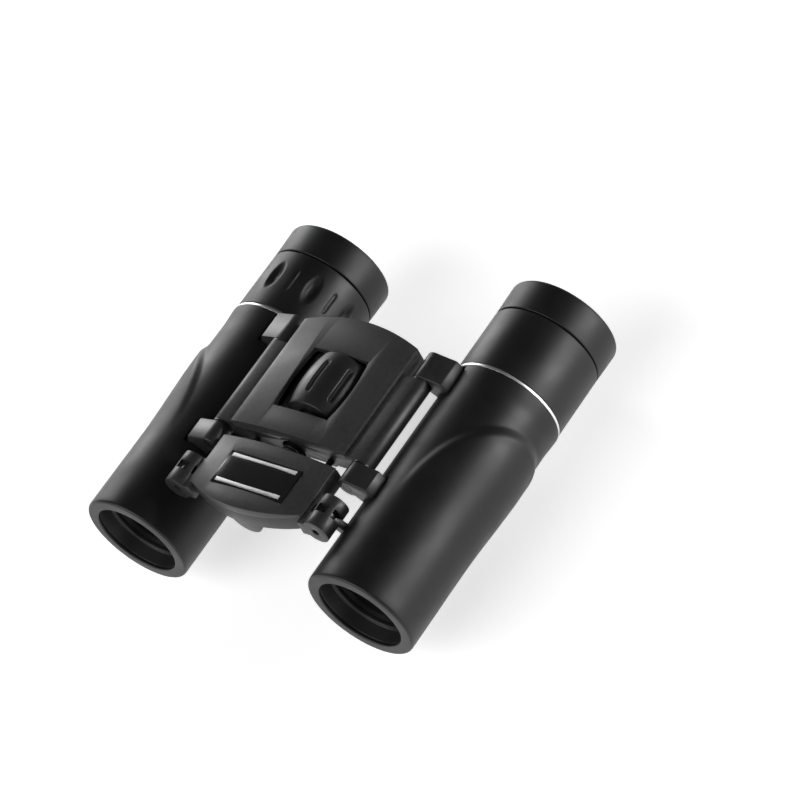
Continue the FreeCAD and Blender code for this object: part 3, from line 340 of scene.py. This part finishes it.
def stand_for(thing, node):
    """The piece takes the place, body, slot and finish of the node it stands for."""
    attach(thing, BODY_OF[node])
    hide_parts(node)
    if not thing.data.materials:
        thing.data.materials.append(FINISH[SLOT_OF[node]])
    print(thing.name, len(thing.data.polygons), "faces on", BODY_OF[node])


# %% [markdown]
# ## Rubber armour
# The armour is one moulding: a rolled rim at the mouth, a long plain barrel, a flared tail, and a
# grip on the outer side like a broad tongue whose rounded end points to the eyepieces. The grip's
# edge is an ellipse when the barrel is unrolled, so one formula gives the whole surface. Where the
# grip passes under the barrel it is held to the height of the table, as a moulding that has to lie flat.

# %% The armour's surface
GRIP_MIDDLE, GRIP_TOP, GRIP_UNDER = math.radians(5), math.radians(90), math.radians(120)
GRIP_START, GRIP_LENGTH = FRONT_Y + 27 * MM, 34.2 * MM
GRIP_HEIGHT, GRIP_SLOPE = 0.95 * MM, 3.6 * MM
RISE_LEAD, RISE_LENGTH = 3 * MM, 28 * MM
TAIL_START = TAIL_Y - 6 * MM
SKIN_DEPTH = 0.05 * MM


def ease(value):
    """A smooth step from 0 to 1."""
    value = min(1.0, max(0.0, value))
    return value * value * (3 - 2 * value)


def armour_radius(side):
    """The radius by angle and place along the barrel. Only the outer skin is changed."""
    def radius(angle, y, r):
        if r < BODY_R - SKIN_DEPTH:
            return r
        outward = angle if side == "right" else math.pi - angle
        outward = (outward - GRIP_MIDDLE + math.pi) % (2 * math.pi) - math.pi
        across = outward / (GRIP_TOP if outward > 0 else GRIP_UNDER)
        along = max(0.0, (y - GRIP_START) / GRIP_LENGTH)
        inside = ease((1 - math.hypot(across, along)) * GRIP_LENGTH / GRIP_SLOPE)
        rise = ease((y - GRIP_START + RISE_LEAD) / RISE_LENGTH)
        flare = (TAIL_R - BODY_R) * ease((y - TAIL_START) / (TAIL_Y - TAIL_START))
        full = r + GRIP_HEIGHT * inside * rise + flare
        below = -math.sin(angle)
        return min(full, AXIS[side].z / below) if below > 0 else full
    return radius


# %% Notches in the armour
NOTCH_DEPTH = (BODY_R - 4 * MM, BODY_R + 8 * MM)


def notch(side, along, across):
    """A cutting box on the line from the barrel's axis to its hinge, between two places each way."""
    sign = SIDES[side]
    towards = (Vector((sign * abs(HINGE.x), 0, HINGE.z)) - AXIS[side]).normalized()
    sideways = Vector((towards.z, 0, -towards.x)) * sign
    mesh = bpy.data.meshes.new("notch")
    bm = bmesh.new()
    for v in bmesh.ops.create_cube(bm, size=1)["verts"]:
        u, y, w = [ends[place > 0] for place, ends in zip(v.co, (across, along, NOTCH_DEPTH))]
        v.co = AXIS[side] + sideways * u + towards * w + Vector((0, y, 0))
    bmesh.ops.recalc_face_normals(bm, faces=bm.faces)
    bm.to_mesh(mesh)
    bm.free()
    return link("notch", mesh)


def carve(thing, tools):
    """Cuts the tools out of the piece and removes them."""
    for tool in tools:
        cut = thing.modifiers.new("cut", "BOOLEAN")
        cut.operation, cut.solver, cut.object = "DIFFERENCE", "EXACT", tool
    apply_modifiers(thing)
    for tool in tools:
        bpy.data.objects.remove(tool)


# %% Build both armours
MOUTH_R, ARMOUR_BORE, LIP_Y = 12.1 * MM, 14.12 * MM, FRONT_Y + 0.98 * MM
MOUTH_ROUND, RIM_ROUND, TAIL_ROUND = 0.45 * MM, 1.5 * MM, 0.25 * MM
RIM_LENGTH, RIM_INSET, TAIL_MARGIN = 2 * MM, 0.02 * MM, 0.4 * MM
WASHER_GAP, LUG_GAP = 0.1 * MM, 0.25 * MM
PIN_START, PIN_END = span("left_hinge_pin")[:2]
HOUSING_START, HOUSING_END = span("left_hinge_washers")[:2]
LUGS = ((PIN_START, HOUSING_START - WASHER_GAP), (HOUSING_END + WASHER_GAP, PIN_END))
LUG_WIDTH = (-1.6 * MM, 6.3 * MM)
ARM_Y = -33.75 * MM
ARM_TRAVEL, ARM_WIDTH = (ARM_Y - 2.5 * MM, ARM_Y + 3.5 * MM), (-1.7 * MM, 1.7 * MM)
mouth = [(MOUTH_R, LIP_Y, 0), (MOUTH_R, FRONT_Y, MOUTH_ROUND), (BODY_R - RIM_INSET, FRONT_Y, RIM_ROUND)]
skin = [(BODY_R, y, 0) for y in np.linspace(FRONT_Y + RIM_LENGTH, TAIL_Y - TAIL_MARGIN, 170)]
tail = [(BODY_R, TAIL_Y, TAIL_ROUND), (ARMOUR_BORE, TAIL_Y, 0), (ARMOUR_BORE, LIP_Y, 0)]
profile = rounded(mouth + skin + tail, 6)
for side in SIDES:
    name = side + "_armour_skin"
    armour = link(name, turned_mesh(name, profile, AXIS[side], 200, armour_radius(side)))
    notches = [notch(side, (low_y - LUG_GAP, high_y + LUG_GAP), LUG_WIDTH) for low_y, high_y in LUGS]
    notches.append(notch(side, ARM_TRAVEL, ARM_WIDTH))
    carve(armour, notches)
    shade(armour.data, 40)
    stand_for(armour, side + "_armour")

# %% [markdown]
# ## Rings, sleeves and eyecups
# These are turned too. Each edge has a small round, because the thin bright line along an edge is
# what makes a black moulding look real.

# %% Turned pieces behind the armour
RING_PROUD, RING_WALL, RING_ROUND = 0.08 * MM, 2 * MM, 0.2 * MM
CUP_BORE, CUP_SHELF_R, CUP_FLOOR = 13.3 * MM, 8.8 * MM, 1.7 * MM
CUP_TAPER, CUP_WALL, CUP_DEPTH = 0.2 * MM, 2.5 * MM, 6.8 * MM


def turned_about(side, name, profile, node):
    """A piece turned about a barrel's axis, which stands for a node."""
    stand_for(link(name, turned_mesh(name, profile, AXIS[side])), node)


for side in SIDES:
    start, end, r = span(side + "_trim_ring")
    r += RING_PROUD
    ring = [(r - RING_WALL, start, 0), (r, start, RING_ROUND), (r, end, RING_ROUND), (r - RING_WALL, end, 0)]
    turned_about(side, side + "_bright_ring", rounded(ring), side + "_trim_ring")
    start, end, r = span(side + "_eyecup")
    inner_r, floor_y = r - CUP_WALL, end - CUP_DEPTH
    cup = [(CUP_BORE, start, 0), (r - CUP_TAPER, start, 0.35 * MM), (r, end, 1.0 * MM),
           (inner_r, end, 0.7 * MM), (inner_r, floor_y, 0.8 * MM), (CUP_SHELF_R, floor_y, 0.3 * MM),
           (CUP_SHELF_R, start + CUP_FLOOR, 0), (CUP_BORE, start + CUP_FLOOR, 0)]
    turned_about(side, side + "_soft_eyecup", rounded(cup, 5), side + "_eyecup")

# %% [markdown]
# ## Repeats that are pressed into a turned surface
# The dioptre ring has eye-shaped dimples with a shallow groove between each two, and the focus wheel
# has long grooves with round ends. Both are one shape repeated about an axis, so one Geometry Nodes
# tree makes them: it folds the angle into one repeat, measures how far a point is from the middle of
# the mark, and moves it in. Cutting each mark with a boolean would leave hard edges.

# %% A small writer for node trees
def new_tree(name, inputs):
    """A Geometry Nodes tree with a mesh in and out, and named inputs for its sizes and its finish."""
    tree = bpy.data.node_groups.new(name, "GeometryNodeTree")
    tree.interface.new_socket("Geometry", in_out="INPUT", socket_type="NodeSocketGeometry")
    tree.interface.new_socket("Geometry", in_out="OUTPUT", socket_type="NodeSocketGeometry")
    for label, kind in inputs:
        tree.interface.new_socket(label, in_out="INPUT", socket_type="NodeSocket" + kind)
    tree.interface.new_socket("Finish", in_out="INPUT", socket_type="NodeSocketMaterial")
    start, end = tree.nodes.new("NodeGroupInput"), tree.nodes.new("NodeGroupOutput")
    return tree, start, end


def step(tree, kind, inputs=(), **settings):
    """Adds a node. Each input is a number, a vector or another node's output socket."""
    node = tree.nodes.new(kind)
    for key, value in settings.items():
        setattr(node, key, value)
    for socket, value in dict(inputs).items():
        if isinstance(value, bpy.types.NodeSocket):
            tree.links.new(value, node.inputs[socket])
        else:
            node.inputs[socket].default_value = value
    return node


def math_step(tree, operation, *values):
    """Adds one sum and gives its result."""
    return step(tree, "ShaderNodeMath", enumerate(values), operation=operation).outputs[0]


def finish_tree(tree, start, end, geometry):
    """Every tree ends in plain, finished geometry."""
    real = step(tree, "GeometryNodeRealizeInstances", {"Geometry": geometry})
    coat = step(tree, "GeometryNodeSetMaterial", {
        "Geometry": real.outputs[0], "Material": start.outputs["Finish"]})
    tree.links.new(coat.outputs[0], end.inputs["Geometry"])


def run_tree(thing, tree, values):
    """Runs the tree on a piece with named inputs, and keeps the plain mesh."""
    modifier = thing.modifiers.new(tree.name, "NODES")
    modifier.node_group = tree
    for item in tree.interface.items_tree:
        if item.in_out == "INPUT" and item.name in values:
            modifier[item.identifier] = values[item.name]
    apply_modifiers(thing)
    shade(thing.data)
    print(thing.name, "after", tree.name, "has", len(thing.data.polygons), "faces")


# %% The tree for pressed marks
PRESSED, start, end = new_tree("pressed_marks", [(label, "Float") for label in (
    "Count", "Phase", "Axis X", "Axis Z", "Skin Radius", "Middle", "Straight", "Cap", "Half Width", "Depth")])
value = start.outputs


def calc(operation, *values):
    """One sum in the tree of pressed marks."""
    return math_step(PRESSED, operation, *values)


def diagonal(a, b):
    """The long side of a right triangle with the sides a and b."""
    return calc("SQRT", calc("ADD", calc("MULTIPLY", a, a), calc("MULTIPLY", b, b)))


place = step(PRESSED, "GeometryNodeInputPosition").outputs[0]
parts = step(PRESSED, "ShaderNodeSeparateXYZ", {0: place}).outputs
x = calc("SUBTRACT", parts[0], value["Axis X"])
z = calc("SUBTRACT", parts[2], value["Axis Z"])
reach = diagonal(x, z)
angle = calc("SUBTRACT", calc("ARCTAN2", z, x), value["Phase"])
half_repeat = calc("DIVIDE", math.pi, value["Count"])
folded = calc("WRAP", angle, half_repeat, calc("MULTIPLY", half_repeat, -1.0))
across = calc("DIVIDE", calc("MULTIPLY", folded, reach), value["Half Width"])
from_middle = calc("ABSOLUTE", calc("SUBTRACT", parts[1], value["Middle"]))
beyond = calc("MAXIMUM", calc("SUBTRACT", from_middle, value["Straight"]), 0.0)
far = diagonal(across, calc("DIVIDE", beyond, value["Cap"]))

# %% The move inwards
MARK_EDGE, MARK_FLOOR = 1.0, 0.2
eased = step(PRESSED, "ShaderNodeMapRange", {"Value": far, "From Min": MARK_EDGE, "From Max": MARK_FLOOR},
             interpolation_type="SMOOTHSTEP").outputs["Result"]
inward = calc("MULTIPLY", calc("MULTIPLY", eased, value["Depth"]), -1.0)
on_skin = calc("GREATER_THAN", reach, value["Skin Radius"])
share = calc("DIVIDE", calc("MULTIPLY", inward, on_skin), reach)
offset = step(PRESSED, "ShaderNodeCombineXYZ", {
    0: calc("MULTIPLY", x, share), 2: calc("MULTIPLY", z, share)}).outputs[0]
pressed = step(PRESSED, "GeometryNodeSetPosition", {"Geometry": value["Geometry"], "Offset": offset})
finish_tree(PRESSED, start, end, pressed.outputs[0])
print("tree of pressed marks has", len(PRESSED.nodes), "nodes")

# %% [markdown]
# ## Dioptre ring and fixed sleeve
# Both are as wide as the barrel's tail. The left one turns, so it has the marks for the fingers. The
# right one is plain. The skin is cut into short steps along the barrel so that the marks are smooth.

# %% Sleeve, dioptre ring and their marks
SLEEVE_BORE, SLEEVE_ROUND, SKIN_MARGIN = 13.66 * MM, 0.3 * MM, 0.6 * MM
MARKS, MARK_Y, MARK_TURN = 8, 10.2 * MM, math.radians(99)
DIMPLE = {"Phase": MARK_TURN, "Straight": 0.0, "Cap": 5.4 * MM, "Half Width": 2.3 * MM, "Depth": 1.15 * MM}
GROOVE = {"Phase": MARK_TURN - math.pi / MARKS, "Straight": 2.4 * MM, "Cap": 1.6 * MM, "Half Width": 0.8 * MM,
          "Depth": 0.25 * MM}
for side, node, segments in (("left", "left_dioptre_ring", 360), ("right", "right_rear_sleeve", 180)):
    begin, finish_y, r = span(node)
    skin = [(r, y, 0) for y in np.linspace(begin + SKIN_MARGIN, finish_y - SKIN_MARGIN, 90)]
    profile = rounded([(SLEEVE_BORE, begin, 0), (r, begin, SLEEVE_ROUND)] + skin
                      + [(r, finish_y, SLEEVE_ROUND), (SLEEVE_BORE, finish_y, 0)])
    name = node + "_skin"
    piece = link(name, turned_mesh(name, profile, AXIS[side], segments))
    if side == "left":
        shared = {"Count": float(MARKS), "Axis X": AXIS[side].x, "Axis Z": AXIS[side].z,
                  "Skin Radius": r - 0.5 * MM, "Middle": begin + MARK_Y, "Finish": FINISH["rubber_armour"]}
        for mark in (DIMPLE, GROOVE):
            run_tree(piece, PRESSED, {**shared, **mark})
    stand_for(piece, node)

# %% [markdown]
# ## Focus wheel
# The wheel is a crowned roller with long grooves for the finger. Its profile bulges a little between
# its ends, in fine steps, and the same tree presses the grooves in.

# %% The wheel's grip
wheel_start, wheel_end, WHEEL_R = span("wheel_grip")
middle_y, half_y = (wheel_start + wheel_end) / 2, (wheel_end - wheel_start) / 2
CORE_R, CROWN_DROP, CROWN_PART = 7.52 * MM, 1.1 * MM, 0.94
END_R, END_ROUND = WHEEL_R - 1.15 * MM, 0.6 * MM
steps = np.linspace(-CROWN_PART, CROWN_PART, 80)
crown = [(WHEEL_R - CROWN_DROP * t * t, middle_y + half_y * t, 0) for t in steps]
profile = rounded([(CORE_R, middle_y - half_y, 0), (END_R, middle_y - half_y, END_ROUND)] + crown
                  + [(END_R, middle_y + half_y, END_ROUND), (CORE_R, middle_y + half_y, 0)])
wheel = link("wheel_grip_grooved", turned_mesh("wheel_grip_grooved", profile, Vector((0, 0, FOCUS_Z)), 320))
run_tree(wheel, PRESSED, {
    "Count": 8.0, "Phase": math.radians(93), "Axis X": 0.0, "Axis Z": FOCUS_Z, "Middle": middle_y,
    "Skin Radius": WHEEL_R - 1.9 * MM, "Straight": 4.6 * MM, "Cap": 0.95 * MM, "Half Width": 0.95 * MM,
    "Depth": 0.7 * MM, "Finish": FINISH["wheel_rubber"]})
stand_for(wheel, "wheel_grip")

# %% [markdown]
# ## Moulded plastic with soft edges
# The bridge, the yoke, the knuckles, the barrel tubes and what sits in their mouths have the right
# shapes in the frame, but their edges are perfectly sharp. A copy of each is merged, its flat faces
# are joined, and a Bevel rounds every hard edge. A moulding never leaves its tool with a sharp edge,
# so this is true to how it is made.

# %% Soften the frame's mouldings
SAME_POINT, FLAT, HARD_EDGE = 0.002 * MM, math.radians(0.6), math.radians(32)


def softened(node, width):
    """A copy of a node with rounded edges, which stands for it."""
    mesh = frame["nodes"][node].data.copy()
    bm = bmesh.new()
    bm.from_mesh(mesh)
    bmesh.ops.remove_doubles(bm, verts=bm.verts, dist=SAME_POINT)
    bmesh.ops.dissolve_limit(bm, angle_limit=FLAT, verts=bm.verts, edges=bm.edges)
    bm.to_mesh(mesh)
    bm.free()
    thing = link(node + "_soft", mesh)
    bevel = thing.modifiers.new("round", "BEVEL")
    bevel.width, bevel.segments, bevel.limit_method = width, 2, "ANGLE"
    bevel.angle_limit = HARD_EDGE
    bevel.use_clamp_overlap = True
    apply_modifiers(thing)
    shade(thing.data, 38)
    stand_for(thing, node)


ROUNDS = {"bridge_cover": 0.35, "bridge_frame": 0.18, "bridge_base": 0.15, "yoke_frame": 0.2,
          "yoke_cover": 0.3}
SIDE_ROUNDS = {"barrel_tube": 0.2, "objective_cell": 0.15, "front_ring": 0.2, "front_knuckle": 0.3,
               "rear_knuckle": 0.3}
for node, width in ROUNDS.items():
    softened(node, width * MM)
for node, width in SIDE_ROUNDS.items():
    for side in SIDES:
        softened(side + "_" + node, width * MM)

# %% [markdown]
# ## Label plate
# On the yoke a domed black plate, as glossy as a lens, sits in a recess. It is printed on the real
# object. Here it has only a plain silver band along each long edge. Each band is a thin raised strip
# with a slight dome of its own, so that it catches the light.

# %% The label and its bands
def domed_plate(name, low, high, rise, steps):
    """A rectangular pad whose top is a smooth dome, closed underneath."""
    bm = bmesh.new()
    grid = []
    for i in range(steps + 1):
        row = []
        for j in range(steps + 1):
            u, v = 2 * i / steps - 1, 2 * j / steps - 1
            crown = (1 - u ** 4) * (1 - v ** 4)
            x = (low.x + high.x) / 2 + u * (high.x - low.x) / 2
            y = (low.y + high.y) / 2 + v * (high.y - low.y) / 2
            row.append(bm.verts.new((x, y, high.z - rise * (1 - crown))))
        grid.append(row)
    for i in range(steps):
        for j in range(steps):
            bm.faces.new((grid[i][j], grid[i + 1][j], grid[i + 1][j + 1], grid[i][j + 1]))
    near_side, far_side = [row[0] for row in grid], [row[-1] for row in reversed(grid[:-1])]
    edge = near_side + grid[-1][1:] + far_side + grid[0][-2:0:-1]
    foot = [bm.verts.new((v.co.x, v.co.y, low.z)) for v in edge]
    for k in range(len(edge)):
        bm.faces.new((edge[k], edge[k - 1], foot[k - 1], foot[k]))
    bm.faces.new(foot)
    bmesh.ops.recalc_face_normals(bm, faces=bm.faces)
    mesh = bpy.data.meshes.new(name)
    bm.to_mesh(mesh)
    bm.free()
    shade(mesh, 50)
    return mesh


LABEL_DOME = 0.35 * MM
low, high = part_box("label_plate")
stand_for(link("label_dome", domed_plate("label_dome", low, high, LABEL_DOME, 24)), "label_plate")
BAND_WIDTH, BAND_INSET, END_INSET = 1.1 * MM, 0.5 * MM, 1.2 * MM
BAND_FOOT, BAND_TOP, BAND_DOME = 0.5 * MM, 0.05 * MM, 0.08 * MM
for end_name, start_y in (("front", low.y + BAND_INSET), ("rear", high.y - BAND_INSET - BAND_WIDTH)):
    name = "label_band_" + end_name
    band_low = Vector((low.x + END_INSET, start_y, high.z - BAND_FOOT))
    band_high = Vector((high.x - END_INSET, start_y + BAND_WIDTH, high.z - BAND_TOP))
    band = link(name, domed_plate(name, band_low, band_high, BAND_DOME, 8))
    band.data.materials.append(FINISH["chrome_trim"])
    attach(band, BODY_OF["label_plate"])
    print(band.name, len(band.data.polygons), "faces")

# %% [markdown]
# ## Mouth rings and shaft thread
# Inside each mouth the real tube is blackened and ribbed, so that stray light dies there, and the focus
# shaft is threaded. Both are one ring repeated along an axis. Geometry Nodes repeats it, with the
# number of rings, their pitch, their two radii and the place of the first as named inputs.

# %% The tree for rings along an axis
RINGS, start, end = new_tree("rings_along_axis", (
    ("Count", "Int"), ("Pitch", "Float"), ("Radius", "Float"), ("Thickness", "Float"), ("Start", "Vector")))
value = start.outputs
path, section = [step(RINGS, "GeometryNodeCurvePrimitiveCircle", {
    "Resolution": corners, "Radius": value[radius]}, mode="RADIUS").outputs["Curve"]
    for corners, radius in ((96, "Radius"), (8, "Thickness"))]
torus = step(RINGS, "GeometryNodeCurveToMesh", {"Curve": path, "Profile Curve": section})
stood = step(RINGS, "GeometryNodeTransform", {"Geometry": torus.outputs[0], "Rotation": (math.pi / 2, 0, 0)})
spaced = step(RINGS, "ShaderNodeCombineXYZ", {1: value["Pitch"]}).outputs[0]
line = step(RINGS, "GeometryNodeMeshLine", {
    "Count": value["Count"], "Start Location": value["Start"], "Offset": spaced}, mode="OFFSET")
placed = step(RINGS, "GeometryNodeInstanceOnPoints", {
    "Points": line.outputs[0], "Instance": stood.outputs[0]})
finish_tree(RINGS, start, end, placed.outputs[0])
print("ring tree has", len(RINGS.nodes), "nodes")


def ring_stack(name, body_node, count, pitch, radius, thickness, begin, finish_name):
    """A run of rings that rides with a node's body."""
    stack = link(name, bpy.data.meshes.new(name))
    run_tree(stack, RINGS, {"Count": count, "Pitch": pitch, "Radius": radius, "Thickness": thickness,
                            "Start": begin, "Finish": FINISH[finish_name]})
    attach(stack, BODY_OF[body_node])


# %% Ribs in the mouths and thread on the shaft
RIB_PITCH, RIB_R, RIB_THICK, RIB_SETBACK = 0.42 * MM, 10.9 * MM, 0.1 * MM, 0.25 * MM
for side in SIDES:
    ring_end = span(side + "_front_ring")[1]
    ring_stack(side + "_mouth_ribs", side + "_front_ring", 3, RIB_PITCH, RIB_R, RIB_THICK,
               (AXIS[side].x, ring_end + RIB_SETBACK, AXIS[side].z), "black_metal")
THREAD_PITCH, THREAD_THICK, THREAD_SUNK = 0.7 * MM, 0.13 * MM, 0.1 * MM
shaft_r = span("focus_shaft")[2]
thread_start = span("yoke_frame")[1] + 0.4 * MM
ring_stack("shaft_thread", "focus_shaft", 5, THREAD_PITCH, shaft_r - THREAD_SUNK, THREAD_THICK,
           (0, thread_start, FOCUS_Z), "steel")
